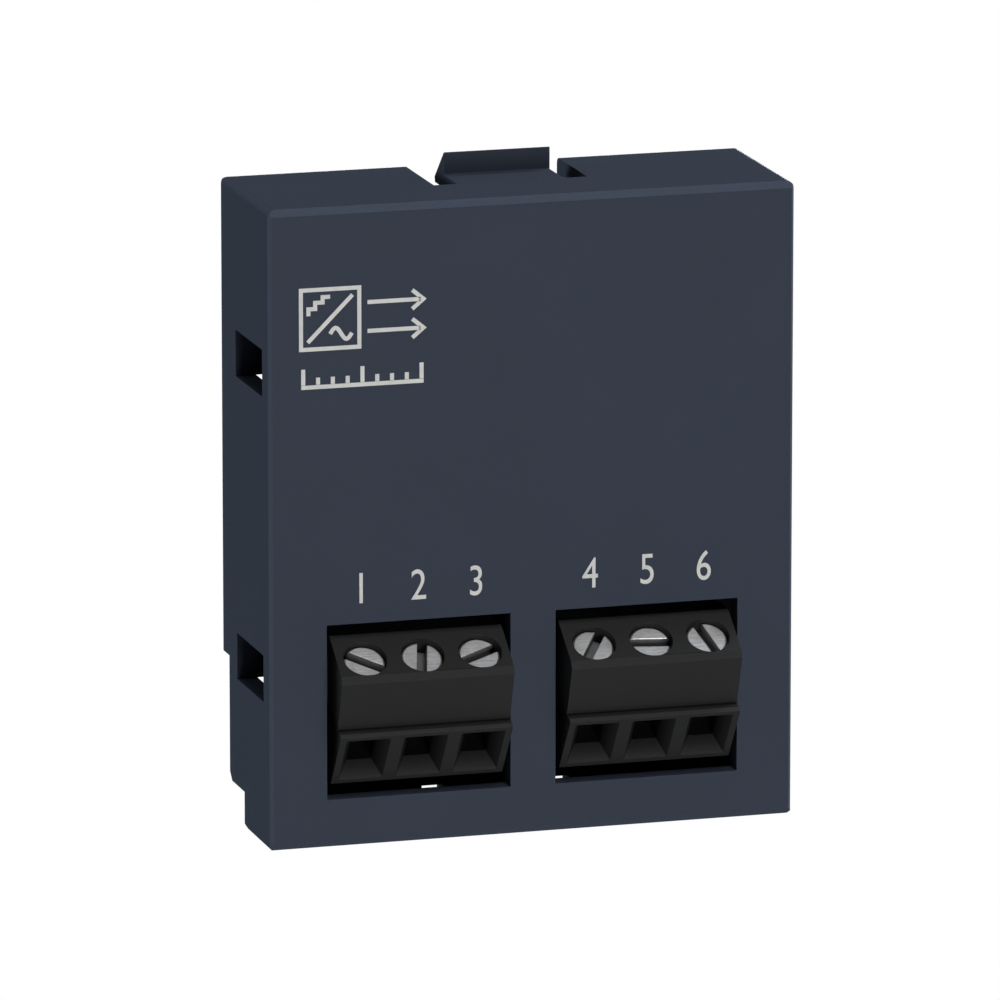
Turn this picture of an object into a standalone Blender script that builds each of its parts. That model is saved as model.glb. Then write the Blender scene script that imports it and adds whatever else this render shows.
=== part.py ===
"""Plug-in analog output cartridge for a small programmable controller.

A moulded front housing carries a circuit board, held by four snap barbs. Two three-pole terminal
blocks on the board reach out through the front wall, and a socket connector points out of the back.
A sprung latch tongue in the top wall hooks the cartridge into the controller.

Axes: +X to the right seen from the front, +Y from the front towards the back, +Z up.
Origin: the middle of the plane that the housing's rear rim rests on.
Sizes below are in millimetres in the housing's own frame, whose Y starts at the front face and whose
Z starts at the bottom face. The parent empty shifts that frame to the origin.
"""

import math

import bmesh
import bpy
from mathutils import Matrix

MM = 0.001

# Housing
WIDTH = 35.5
HEIGHT = 42.5
DEPTH = 12.15
WALL = 1.4
BASE_DEPTH = 6.6
BASE_HEIGHT = 2.45
BASE_RAMP = 2.0
BASE_RISE = 0.3
STEP_DEPTH = 10.26
STEP_HEIGHT = 10.8
STEP_CHAMFER = 0.55
FRONT_CHAMFER = 0.47
SIDE_CHAMFER_SHARE = 0.47
LONG_CHAMFER_SHARE = 0.38
REAR_RADIUS = 0.45
TOP_RADIUS = 0.55
CORNER_STEPS = 6
INNER_HALF = WIDTH / 2 - WALL
CEILING = HEIGHT - WALL

# Openings in the housing
WINDOW_INNER = 1.53
WINDOW_OUTER = 13.95
WINDOW_BOTTOM = 3.24
WINDOW_TOP = 14.9
SLOT_FRONT = 1.7
SLOT_BACK = 8.3
SLOT_BOTTOMS = (9.67, 29.95)
SLOT_HEIGHT = 3.1
NOTCH_HALF = 5.2
NOTCH_FRONT = 5.2

# Circuit board
BOARD_FRONT = 6.7
BOARD_THICK = 1.55
BOARD_BACK = BOARD_FRONT + BOARD_THICK
BOARD_HALF = 15.95
BOARD_BOTTOM = 1.2
BOARD_TOP = 40.8
BOARD_CORNER = 0.8
BOARD_NOTCH_TOP = 1.97
BOARD_NOTCHES = ((-5.65, -4.18), (2.6, 4.47))
TONGUE_RELIEF_HALF = 4.6
TONGUE_RELIEF_BOTTOM = 39.8
PIN_HOLE_RADIUS = 0.6
CONTACT_HOLE_RADIUS = 0.5
HOLE_STEPS = 12

# What holds the board: barbs behind its edges and posts in front of its corners
BARB_FRONT = 8.35
BARB_BACK = 10.1
BARB_FLAT = 0.45
BARB_REACH = 1.15
POST_WIDE = 2.2
POST_HIGH = 3.0
POST_BACK = BOARD_FRONT - 0.1

# Latch tongue
TONGUE_HALF = 3.62
TONGUE_THICK = 0.9
TONGUE_FRONT = 5.5
HOOK_FRONT = 8.43
HOOK_TOP = 44.0
HOOK_HEEL = (10.6, 42.0)
HOOK_TAIL = (10.5, 41.6)
LATCH_AXIS = (5.3, 42.05)

# Terminal blocks
POLES = 3
PITCH = 3.88
BLOCK_WIDTH = 11.63
BLOCK_CENTRE = 7.75
BLOCK_BACK = 6.4
LEAN = math.radians(35)
RIDGE = (-2.15, 11.93)
RIDGE_UNDER = (-2.35, 11.43)
FACE_BOTTOM = (-1.35, 8.5)
GROOVE = (-1.1, 8.1)
LIP = (-1.75, 8.0)
ENTRY_TOP = (-1.98, 7.77)
SCREW_FACE_LENGTH = 3.62
ENTRY_FACE_LENGTH = 4.4
SCREW_UP_FACE = 1.465
SCREW_HOLE_RADIUS = 1.45
SCREW_HOLE_DEEP = 2.2
FUNNEL_MOUTH = (2.98, 3.75)
FUNNEL_THROAT = (1.7, 2.17)
FUNNEL_DEEP = 1.0
FUNNEL_START = 0.2
FUNNEL_DOWN_FACE = 2.175
CHAMBER_HALF_WIDE = 1.6
CHAMBER_HALF_LONG = 1.25
CHAMBER_TOP = -1.9
CHAMBER_BOTTOM = -7.4

# Terminal screws, in the leaning frame of a pole: Z out along the screw, Y inwards along the wire
HEAD_RADIUS = 1.375
HEAD_TOP = -0.35
HEAD_BOTTOM = -1.6
HEAD_EDGE = 0.12
SHANK_RADIUS = 0.9
SHANK_BOTTOM = -4.05
DRIVE_WIDE = 0.65
DRIVE_DEEP = 0.95
SCREW_STEPS = 32
SHARP_ANGLE = math.radians(30)
DRIVE_ANGLES = (-33, 76.5, 21.5, 56.5, -4, -74)

# Clamp cages, in the same leaning frame
CAGE_HALF_WIDE = 1.45
CAGE_HALF_LONG = 1.05
CAGE_TOP = -3.4
CAGE_BOTTOM = -7.1
CAGE_WINDOW_TOP = -3.9
CAGE_WINDOW_BOTTOM = -6.6
CAGE_WINDOW_HALF = 1.1
CAGE_HOLE_RADIUS = 1.0

# Contact pins: a bar inside the cage, and a pin that goes back through the board
BAR_HALF_WIDE = 0.85
BAR_HALF_LONG = 1.15
BAR_TOP = -4.2
BAR_BOTTOM = -4.6
PIN_HALF_WIDE = 0.35
PIN_LOW = 9.55
PIN_HIGH = 10.15
PIN_FRONT = 2.3
PIN_BACK = 9.5
PIN_SLOT_GAP = 0.12
PIN_SLOT_FRONT = 1.9

# Rear connector
ROWS = 2
COLUMNS = 6
CONTACT_PITCH = 2.54
CONNECTOR_HEIGHT = 33.0
CONNECTOR_FRONT = BOARD_BACK + 0.3
CONNECTOR_BACK = 23.0
CONNECTOR_SIZE = (16.4, 5.8)
CONNECTOR_EDGE = 0.5
KEY_WIDE = 3.0
KEY_HIGH = 0.9
KEY_FRONT = 12.2
KEY_SHORT = 1.0
CAVITY = 1.2
CONTACT_WIDE = 0.64
CONTACT_FRONT = 5.7
CONTACT_BACK = 20.6

# Parts soldered to the back of the board: size along X, Z and Y, then the middle's X and Z
STAND_OFF = 0.1
BOARD_PARTS = (
    ("converter_chip", "chip_plastic", (5.0, 4.4, 1.0), (0.0, 20.6)),
    ("loop_amplifier_left", "chip_plastic", (4.9, 3.9, 1.5), (-7.75, 21.0)),
    ("loop_amplifier_right", "chip_plastic", (4.9, 3.9, 1.5), (7.75, 21.0)),
    ("output_transistor_left", "chip_plastic", (6.5, 3.5, 1.6), (-9.0, 14.8)),
    ("output_transistor_right", "chip_plastic", (6.5, 3.5, 1.6), (9.0, 14.8)),
    ("surge_diode_left", "chip_plastic", (2.6, 4.3, 2.1), (-3.0, 14.9)),
    ("surge_diode_right", "chip_plastic", (2.6, 4.3, 2.1), (3.0, 14.9)),
    ("memory_chip", "chip_plastic", (4.9, 3.9, 1.5), (10.6, 26.4)),
    ("boost_converter_chip", "chip_plastic", (2.9, 1.6, 1.1), (-6.0, 26.6)),
    ("tantalum_capacitor_left", "capacitor_case", (3.5, 2.8, 1.9), (-1.0, 26.4)),
    ("tantalum_capacitor_right", "capacitor_case", (3.5, 2.8, 1.9), (4.6, 26.4)),
    ("sense_resistor_left", "resistor_body", (2.5, 3.2, 0.6), (-13.0, 20.6)),
    ("sense_resistor_right", "resistor_body", (2.5, 3.2, 0.6), (13.0, 20.6)),
)
PART_EDGE = 0.15
INDUCTOR_SIZE = 5.0
INDUCTOR_TALL = 2.8
INDUCTOR_CORNER = 0.9
INDUCTOR_PLACE = (-11.4, 26.4)
INDUCTOR_WELL_RADIUS = 1.5
INDUCTOR_WELL_DEEP = 0.4

# How far a cutter reaches past the surface it opens, how near two numbers count as the same, the
# distance that welds points, and the sides of a round cutter
PAST = 1.0
SAME = 0.01
WELD = 1e-4
ROUND_STEPS = 24

# Base colour, roughness and metallic value
COLOURS = {
    "housing_plastic": ((0.040, 0.049, 0.068), 0.55, 0.0),
    "terminal_plastic": ((0.022, 0.022, 0.022), 0.5, 0.0),
    "connector_plastic": ((0.018, 0.018, 0.019), 0.45, 0.0),
    "board_laminate": ((0.005, 0.018, 0.011), 0.35, 0.0),
    "screw_steel": ((0.62, 0.62, 0.60), 0.35, 1.0),
    "clamp_steel": ((0.58, 0.58, 0.56), 0.4, 1.0),
    "tinned_copper": ((0.70, 0.68, 0.64), 0.3, 1.0),
    "contact_gold": ((0.85, 0.62, 0.28), 0.25, 1.0),
    "chip_plastic": ((0.012, 0.012, 0.013), 0.5, 0.0),
    "capacitor_case": ((0.62, 0.38, 0.06), 0.45, 0.0),
    "resistor_body": ((0.015, 0.015, 0.016), 0.4, 0.0),
    "ferrite_core": ((0.045, 0.045, 0.048), 0.6, 0.0),
}

ALONG_X = (math.pi / 2, 0, math.pi / 2)
ALONG_Y = (math.pi / 2, 0, 0)
ALONG_Z = (0, 0, 0)


def clear_scene():
    for item in list(bpy.data.objects):
        bpy.data.objects.remove(item)


def new_collection(name):
    collection = bpy.data.collections.new(name)
    bpy.context.scene.collection.children.link(collection)
    return collection


def new_material(name):
    colour, roughness, metallic = COLOURS[name]
    material = bpy.data.materials.new(name)
    material.use_nodes = True
    shader = material.node_tree.nodes["Principled BSDF"]
    shader.inputs["Base Color"].default_value = (*colour, 1)
    shader.inputs["Roughness"].default_value = roughness
    shader.inputs["Metallic"].default_value = metallic
    material.diffuse_color = (*colour, 1)
    return material


clear_scene()
PARTS = new_collection("output_cartridge")
CUTTERS = new_collection("cutters")
MATERIALS = {name: new_material(name) for name in COLOURS}


def new_object(name, mesh, parent):
    """Puts a mesh in the cutters' collection, where it stays unless finish() makes it a part."""
    item = bpy.data.objects.new(name, mesh)
    item.hide_render = True
    item.display_type = "WIRE"
    item.parent = parent
    CUTTERS.objects.link(item)
    return item


def new_empty(name, place, lean=0.0, parent=None):
    empty = bpy.data.objects.new(name, None)
    empty.location = [value * MM for value in place]
    empty.rotation_euler.x = lean
    empty.parent = parent
    PARTS.objects.link(empty)
    return empty


def finish(item, material):
    """Moves an object to the parts' collection and gives it its material."""
    CUTTERS.objects.unlink(item)
    PARTS.objects.link(item)
    item.hide_render = False
    item.display_type = "TEXTURED"
    item.data.materials.clear()
    item.data.materials.append(MATERIALS[material])
    return item


def evaluated_mesh(item):
    """The object's mesh with its modifiers applied, welded, and facing out."""
    bpy.context.view_layer.update()
    graph = bpy.context.evaluated_depsgraph_get()
    mesh = bpy.data.meshes.new_from_object(item.evaluated_get(graph))
    work = bmesh.new()
    work.from_mesh(mesh)
    bmesh.ops.remove_doubles(work, verts=work.verts, dist=WELD * MM)
    bmesh.ops.recalc_face_normals(work, faces=work.faces)
    work.to_mesh(mesh)
    work.free()
    mesh.name = item.name
    return mesh


def outline_solid(name, points, thick, turn, place=(0, 0, 0), parent=None):
    """A flat outline made as thick as asked about its own plane, in millimetres."""
    curve = bpy.data.curves.new(name, "CURVE")
    curve.dimensions = "2D"
    curve.fill_mode = "BOTH"
    curve.extrude = thick / 2 * MM
    spline = curve.splines.new("POLY")
    spline.points.add(len(points) - 1)
    for point, (across, up) in zip(spline.points, points):
        point.co = (across * MM, up * MM, 0, 1)
    spline.use_cyclic_u = True
    drawn = new_object(name + "_outline", curve, None)
    item = new_object(name, evaluated_mesh(drawn), parent)
    item.location = [value * MM for value in place]
    item.rotation_euler = turn
    bpy.data.objects.remove(drawn)
    return item


def box(name, low, high, parent=None):
    """A box between two corners, in millimetres in its parent's frame."""
    work = bmesh.new()
    bmesh.ops.create_cube(work, size=1)
    size = [(b - a) * MM for a, b in zip(low, high)]
    bmesh.ops.scale(work, vec=size, verts=work.verts)
    mesh = bpy.data.meshes.new(name)
    work.to_mesh(mesh)
    work.free()
    item = new_object(name, mesh, parent)
    item.location = [(a + b) / 2 * MM for a, b in zip(low, high)]
    return item


def rod(name, radius, length, place, turn=ALONG_Z, parent=None, steps=ROUND_STEPS):
    """A cylinder about its own Z, turned and placed by its middle."""
    work = bmesh.new()
    bmesh.ops.create_cone(
        work,
        cap_ends=True,
        segments=steps,
        radius1=radius * MM,
        radius2=radius * MM,
        depth=length * MM,
    )
    mesh = bpy.data.meshes.new(name)
    work.to_mesh(mesh)
    work.free()
    item = new_object(name, mesh, parent)
    item.location = [value * MM for value in place]
    item.rotation_euler = turn
    return item


def funnel(name, mouth, throat, deep, mouth_place, parent):
    """A square-cornered funnel that narrows along +Y, its mouth centred on the given place."""
    work = bmesh.new()
    corner = math.sqrt(0.5)
    bmesh.ops.create_cone(work, cap_ends=True, segments=4, radius1=corner, radius2=corner, depth=1)
    for vert in work.verts:
        old = vert.co.copy()
        size = mouth if old.z < 0 else throat
        across = (old.x + old.y) * corner
        up = (old.y - old.x) * corner
        vert.co = (across * size[0] * MM, (old.z + 0.5) * deep * MM, -up * size[1] * MM)
    mesh = bpy.data.meshes.new(name)
    work.to_mesh(mesh)
    work.free()
    item = new_object(name, mesh, parent)
    item.location = [value * MM for value in mouth_place]
    return item


def combine(item, other, operation):
    modifier = item.modifiers.new(f"{operation.lower()}_{other.name}"[:60], "BOOLEAN")
    modifier.operation = operation
    modifier.solver = "EXACT"
    modifier.object = other


def cut(item, *cutters):
    for cutter in cutters:
        combine(item, cutter, "DIFFERENCE")


def join(item, *others):
    for other in others:
        combine(item, other, "UNION")


def round_edges(item, radius, segments=2):
    modifier = item.modifiers.new("rounded_edges", "BEVEL")
    modifier.width = radius * MM
    modifier.segments = segments
    modifier.limit_method = "ANGLE"


def rounded_corner(first, second, radius):
    """The rounded corner between two outer faces, where first and second are how far out they lie."""
    angles = [math.pi / 2 * step / CORNER_STEPS for step in range(CORNER_STEPS + 1)]
    return [
        (first - radius * (1 - math.cos(angle)), second - radius * (1 - math.sin(angle)))
        for angle in angles
    ]


def housing_outline():
    """The side view of the housing, as (Y, Z) points."""
    return (
        (0, 0),
        (BASE_DEPTH - BASE_RAMP, 0),
        (BASE_DEPTH, BASE_RISE),
        (BASE_DEPTH, BASE_HEIGHT),
        (STEP_DEPTH - STEP_CHAMFER, BASE_HEIGHT),
        (STEP_DEPTH, BASE_HEIGHT + STEP_CHAMFER),
        (STEP_DEPTH, STEP_HEIGHT),
        (DEPTH, STEP_HEIGHT),
        *rounded_corner(DEPTH, HEIGHT, REAR_RADIUS),
        (0, HEIGHT),
    )


def mirrored_outline(start, corner):
    """An outline made of a corner's (outward, along) points, their mirror image and a straight start."""
    half = corner[0][0]
    left = [(-outward, along) for outward, along in reversed(corner)]
    return [(-half, start), (half, start), *corner, *left]


def round_off(item, frame):
    """Rounds the two upright rear edges, seen from above, and the two long top edges, seen in front."""
    rear = mirrored_outline(-PAST, rounded_corner(WIDTH / 2, DEPTH, REAR_RADIUS))
    top = mirrored_outline(-PAST, rounded_corner(WIDTH / 2, HEIGHT, TOP_RADIUS))
    tall = HEIGHT + 2 * PAST
    deep = DEPTH + 2 * PAST
    upright = outline_solid("rear_rounding", rear, tall, ALONG_Z, (0, 0, HEIGHT / 2), frame)
    lengthwise = outline_solid("top_rounding", top, deep, ALONG_Y, (0, DEPTH / 2, 0), frame)
    combine(item, upright, "INTERSECT")
    combine(item, lengthwise, "INTERSECT")


def chamfer_front(item):
    """Chamfers the edges around the front face, most above and below, and the long lower edges least.

    The mesh lies as it was drawn: X is the depth, Y the height and Z the width.
    """
    mesh = item.data
    weights = mesh.attributes.new("bevel_weight_edge", "FLOAT", "EDGE")
    for edge in mesh.edges:
        ends = [mesh.vertices[index].co / MM for index in edge.vertices]
        at_front = all(abs(end.x) < SAME for end in ends)
        same_height = abs(ends[0].y - ends[1].y) < SAME
        same_side = abs(ends[0].z - ends[1].z) < SAME
        lowest = all(end.y < SAME for end in ends)
        if at_front and same_height:
            weights.data[edge.index].value = 1.0
        elif at_front:
            weights.data[edge.index].value = SIDE_CHAMFER_SHARE
        elif same_height and same_side and lowest:
            weights.data[edge.index].value = LONG_CHAMFER_SHARE
    modifier = item.modifiers.new("chamfered_front", "BEVEL")
    modifier.width = FRONT_CHAMFER * MM
    modifier.segments = 1
    modifier.limit_method = "WEIGHT"


def board_barb(name, side, bottom, frame):
    """A ramped barb on a side wall, which the board's edge snaps past."""
    tip = INNER_HALF - BARB_REACH
    root = INNER_HALF + WALL / 2
    points = (
        (side * root, BARB_FRONT),
        (side * tip, BARB_FRONT),
        (side * tip, BARB_FRONT + BARB_FLAT),
        (side * INNER_HALF, BARB_BACK),
        (side * root, BARB_BACK),
    )
    middle = (0, 0, bottom + SLOT_HEIGHT / 2)
    return outline_solid(name, points, SLOT_HEIGHT, ALONG_Z, middle, frame)


def board_post(name, side, low, high, frame):
    """A corner post that the board's front rests against."""
    inner = side * (INNER_HALF - POST_WIDE)
    outer = side * (INNER_HALF + WALL / 2)
    return box(
        name,
        (min(inner, outer), WALL / 2, low),
        (max(inner, outer), POST_BACK, high),
        frame,
    )


def front_housing(frame):
    item = outline_solid("front_housing", housing_outline(), WIDTH, ALONG_X, parent=frame)
    chamfer_front(item)
    round_off(item, frame)
    cavity = box(
        "cavity_cutter",
        (-INNER_HALF, WALL, WALL),
        (INNER_HALF, DEPTH + PAST, CEILING),
        frame,
    )
    notch = box(
        "notch_cutter",
        (-NOTCH_HALF, NOTCH_FRONT, CEILING - PAST),
        (NOTCH_HALF, DEPTH + PAST, HEIGHT + PAST),
        frame,
    )
    cut(item, cavity, notch)
    for side, word in ((-1, "left"), (1, "right")):
        across = sorted((side * WINDOW_INNER, side * WINDOW_OUTER))
        window = box(
            f"window_cutter_{word}",
            (across[0], -PAST, WINDOW_BOTTOM),
            (across[1], WALL + PAST, WINDOW_TOP),
            frame,
        )
        cut(item, window)
    for place, bottom in zip(("lower", "upper"), SLOT_BOTTOMS):
        slot = box(
            f"slot_cutter_{place}",
            (-WIDTH, SLOT_FRONT, bottom),
            (WIDTH, SLOT_BACK, bottom + SLOT_HEIGHT),
            frame,
        )
        cut(item, slot)
    for side, word in ((-1, "left"), (1, "right")):
        for place, bottom in zip(("lower", "upper"), SLOT_BOTTOMS):
            join(item, board_barb(f"barb_{place}_{word}", side, bottom, frame))
        top_post = (CEILING - POST_HIGH, CEILING + WALL / 2)
        bottom_post = (WALL / 2, WALL + POST_HIGH)
        join(item, board_post(f"post_upper_{word}", side, *top_post, frame))
        join(item, board_post(f"post_lower_{word}", side, *bottom_post, frame))
    return finish(item, "housing_plastic")


def latch_clip(frame):
    """The tongue and its hook. The object's origin lies on the line that the tongue bends about."""
    points = (
        (TONGUE_FRONT, HEIGHT),
        (TONGUE_FRONT, HEIGHT - TONGUE_THICK),
        HOOK_TAIL,
        HOOK_HEEL,
        (HOOK_FRONT, HOOK_TOP),
        (HOOK_FRONT, HEIGHT),
    )
    about_axis = [(y - LATCH_AXIS[0], z - LATCH_AXIS[1]) for y, z in points]
    item = outline_solid(
        "latch_clip",
        about_axis,
        2 * TONGUE_HALF,
        ALONG_X,
        (0, *LATCH_AXIS),
        frame,
    )
    return finish(item, "housing_plastic")


def board_outline():
    """The board seen from the front, as (X, Z) points: cut corners, and notches top and bottom."""
    points = [(-BOARD_HALF + BOARD_CORNER, BOARD_BOTTOM)]
    for low, high in BOARD_NOTCHES:
        points += [
            (low, BOARD_BOTTOM),
            (low, BOARD_NOTCH_TOP),
            (high, BOARD_NOTCH_TOP),
            (high, BOARD_BOTTOM),
        ]
    points += [
        (BOARD_HALF - BOARD_CORNER, BOARD_BOTTOM),
        (BOARD_HALF, BOARD_BOTTOM + BOARD_CORNER),
        (BOARD_HALF, BOARD_TOP - BOARD_CORNER),
        (BOARD_HALF - BOARD_CORNER, BOARD_TOP),
        (TONGUE_RELIEF_HALF, BOARD_TOP),
        (TONGUE_RELIEF_HALF, TONGUE_RELIEF_BOTTOM),
        (-TONGUE_RELIEF_HALF, TONGUE_RELIEF_BOTTOM),
        (-TONGUE_RELIEF_HALF, BOARD_TOP),
        (-BOARD_HALF + BOARD_CORNER, BOARD_TOP),
        (-BOARD_HALF, BOARD_TOP - BOARD_CORNER),
        (-BOARD_HALF, BOARD_BOTTOM + BOARD_CORNER),
    ]
    return points


def pole_places():
    """The X of the six poles, from left to right."""
    middles = (-BLOCK_CENTRE, BLOCK_CENTRE)
    return [m + (i - (POLES - 1) / 2) * PITCH for m in middles for i in range(POLES)]


def contact_places():
    """The (X, Z) of the connector's contacts, the lower row first."""
    return [
        (
            (column - (COLUMNS - 1) / 2) * CONTACT_PITCH,
            CONNECTOR_HEIGHT + (row - (ROWS - 1) / 2) * CONTACT_PITCH,
        )
        for row in range(ROWS)
        for column in range(COLUMNS)
    ]


def main_circuit_board(frame):
    middle = BOARD_FRONT + BOARD_THICK / 2
    item = outline_solid(
        "main_circuit_board",
        board_outline(),
        BOARD_THICK,
        ALONG_Y,
        (0, middle, 0),
        frame,
    )
    holes = [(x, (PIN_LOW + PIN_HIGH) / 2, PIN_HOLE_RADIUS) for x in pole_places()]
    holes += [(x, z, CONTACT_HOLE_RADIUS) for x, z in contact_places()]
    for number, (x, z, radius) in enumerate(holes, 1):
        drill = rod(
            f"drill_{number}",
            radius,
            BOARD_THICK + PAST,
            (x, middle, z),
            ALONG_Y,
            frame,
            HOLE_STEPS,
        )
        cut(item, drill)
    return finish(item, "board_laminate")


def leaning(point, along, distance):
    """A (Y, Z) point moved along the wire's way in, or along the screw's way out."""
    ways = {
        "wire": (math.cos(LEAN), math.sin(LEAN)),
        "screw": (-math.sin(LEAN), math.cos(LEAN)),
    }
    return tuple(value + distance * way for value, way in zip(point, ways[along]))


SCREW_PLACE = leaning(RIDGE, "wire", SCREW_UP_FACE)
ENTRY_MIDDLE = leaning(ENTRY_TOP, "screw", -FUNNEL_DOWN_FACE)


def block_outline():
    """The side view of a terminal block, as (Y, Z) points."""
    top_back = leaning(RIDGE, "wire", SCREW_FACE_LENGTH)
    entry_bottom = leaning(ENTRY_TOP, "screw", -ENTRY_FACE_LENGTH)
    return (
        RIDGE,
        RIDGE_UNDER,
        FACE_BOTTOM,
        GROOVE,
        LIP,
        ENTRY_TOP,
        entry_bottom,
        (BLOCK_BACK, entry_bottom[1]),
        (BLOCK_BACK, top_back[1]),
        top_back,
    )


def in_pole_frame(point):
    """A (Y, Z) point of the housing's frame, in a pole's leaning frame."""
    across = point[0] - SCREW_PLACE[0]
    up = point[1] - SCREW_PLACE[1]
    return (
        across * math.cos(LEAN) + up * math.sin(LEAN),
        up * math.cos(LEAN) - across * math.sin(LEAN),
    )


def terminal_block(word, middle, poles, frame):
    """One block: for each pole a screw hole, a clamp chamber, a wire entry and a way out for the pin."""
    item = outline_solid(
        f"terminal_block_{word}",
        block_outline(),
        BLOCK_WIDTH,
        ALONG_X,
        (middle, 0, 0),
        frame,
    )
    entry, height = in_pole_frame(ENTRY_MIDDLE)
    for number, pole in poles:
        x = pole.location.x / MM
        screw_hole = rod(
            f"screw_hole_{number}",
            SCREW_HOLE_RADIUS,
            SCREW_HOLE_DEEP + PAST,
            (0, 0, (PAST - SCREW_HOLE_DEEP) / 2),
            parent=pole,
            steps=SCREW_STEPS,
        )
        chamber = box(
            f"chamber_{number}",
            (-CHAMBER_HALF_WIDE, -CHAMBER_HALF_LONG, CHAMBER_BOTTOM),
            (CHAMBER_HALF_WIDE, CHAMBER_HALF_LONG, CHAMBER_TOP),
            pole,
        )
        throat = box(
            f"throat_{number}",
            (-FUNNEL_THROAT[0] / 2, entry + FUNNEL_DEEP / 2, height - FUNNEL_THROAT[1] / 2),
            (FUNNEL_THROAT[0] / 2, 0, height + FUNNEL_THROAT[1] / 2),
            pole,
        )
        # The funnel starts a little outside the face, on its own slope, so that it cuts cleanly.
        grow = 1 + FUNNEL_START / FUNNEL_DEEP
        mouth = [t + (m - t) * grow for m, t in zip(FUNNEL_MOUTH, FUNNEL_THROAT)]
        entry_funnel = funnel(
            f"funnel_{number}",
            mouth,
            FUNNEL_THROAT,
            FUNNEL_DEEP + FUNNEL_START,
            (0, entry - FUNNEL_START, height),
            pole,
        )
        half = PIN_HALF_WIDE + PIN_SLOT_GAP
        pin_way = box(
            f"pin_way_{number}",
            (x - half, PIN_SLOT_FRONT, PIN_LOW - PIN_SLOT_GAP),
            (x + half, BLOCK_BACK + PAST, PIN_HIGH + PIN_SLOT_GAP),
            frame,
        )
        cut(item, screw_hole, chamber, throat, entry_funnel, pin_way)
    return finish(item, "terminal_plastic")


def screw_mesh():
    """A slotted screw turned about Z, its slot along X. Z = 0 is the face of the block."""
    work = bmesh.new()
    profile = (
        (0, HEAD_TOP),
        (HEAD_RADIUS - HEAD_EDGE, HEAD_TOP),
        (HEAD_RADIUS, HEAD_TOP - HEAD_EDGE),
        (HEAD_RADIUS, HEAD_BOTTOM),
        (SHANK_RADIUS, HEAD_BOTTOM),
        (SHANK_RADIUS, SHANK_BOTTOM),
        (0, SHANK_BOTTOM),
    )
    verts = [work.verts.new((r * MM, 0, z * MM)) for r, z in profile]
    for a, b in zip(verts, verts[1:]):
        work.edges.new((a, b))
    mesh = bpy.data.meshes.new("terminal_screw")
    work.to_mesh(mesh)
    work.free()
    turned = new_object("terminal_screw_blank", mesh, None)
    screw = turned.modifiers.new("turned", "SCREW")
    screw.axis = "Z"
    screw.steps = SCREW_STEPS
    screw.render_steps = SCREW_STEPS
    screw.use_merge_vertices = True
    screw.merge_threshold = WELD * MM
    drive = box(
        "drive_cutter",
        (-HEAD_RADIUS - PAST, -DRIVE_WIDE / 2, HEAD_TOP - DRIVE_DEEP),
        (HEAD_RADIUS + PAST, DRIVE_WIDE / 2, HEAD_TOP + PAST),
    )
    solid = new_object("terminal_screw_solid", evaluated_mesh(turned), None)
    cut(solid, drive)
    finished = evaluated_mesh(solid)
    finished.shade_smooth()
    finished.set_sharp_from_angle(angle=SHARP_ANGLE)
    for item in (turned, solid):
        bpy.data.objects.remove(item)
    return finished


def cage_mesh():
    """A rectangular clamp cage with a window for the wire and a hole for the screw's shank."""
    solid = box(
        "clamp_cage_solid",
        (-CAGE_HALF_WIDE, -CAGE_HALF_LONG, CAGE_BOTTOM),
        (CAGE_HALF_WIDE, CAGE_HALF_LONG, CAGE_TOP),
    )
    solid.data.transform(Matrix.Translation(solid.location))
    solid.location = (0, 0, 0)
    window = box(
        "cage_window_cutter",
        (-CAGE_WINDOW_HALF, -CAGE_HALF_LONG - PAST, CAGE_WINDOW_BOTTOM),
        (CAGE_WINDOW_HALF, CAGE_HALF_LONG + PAST, CAGE_WINDOW_TOP),
    )
    thread = rod(
        "cage_thread_cutter",
        CAGE_HOLE_RADIUS,
        CAGE_TOP - CAGE_WINDOW_TOP + PAST,
        (0, 0, (CAGE_TOP + CAGE_WINDOW_TOP) / 2),
    )
    cut(solid, window, thread)
    mesh = evaluated_mesh(solid)
    bpy.data.objects.remove(solid)
    return mesh


def contact_mesh():
    """The bar that lies in the cage, joined to the pin that goes back through the board."""
    bar = box(
        "contact_bar",
        (-BAR_HALF_WIDE, -BAR_HALF_LONG, BAR_BOTTOM),
        (BAR_HALF_WIDE, BAR_HALF_LONG, BAR_TOP),
    )
    pin = box(
        "contact_tail",
        (-PIN_HALF_WIDE, PIN_FRONT - SCREW_PLACE[0], PIN_LOW - SCREW_PLACE[1]),
        (PIN_HALF_WIDE, PIN_BACK - SCREW_PLACE[0], PIN_HIGH - SCREW_PLACE[1]),
    )
    # The pin is level, so it is turned back against the lean of the pole's frame.
    pin.matrix_basis = Matrix.Rotation(-LEAN, 4, "X") @ Matrix.Translation(pin.location)
    join(bar, pin)
    mesh = evaluated_mesh(bar)
    mesh.transform(Matrix.Translation(bar.location))
    bpy.data.objects.remove(bar)
    return mesh


def terminals(frame):
    """The poles' frames, and in each a screw, a clamp cage and a contact pin."""
    screw = screw_mesh()
    cage = cage_mesh()
    contact = contact_mesh()
    poles = []
    for number, (x, angle) in enumerate(zip(pole_places(), DRIVE_ANGLES), 1):
        pole = new_empty(f"pole_{number}", (x, *SCREW_PLACE), LEAN, frame)
        poles.append((number, pole))
        turned = new_object(f"terminal_screw_{number}", screw, pole)
        turned.rotation_euler.z = math.radians(angle)
        finish(turned, "screw_steel")
        finish(new_object(f"clamp_cage_{number}", cage, pole), "clamp_steel")
        finish(new_object(f"contact_pin_{number}", contact, pole), "tinned_copper")
    return poles


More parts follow.
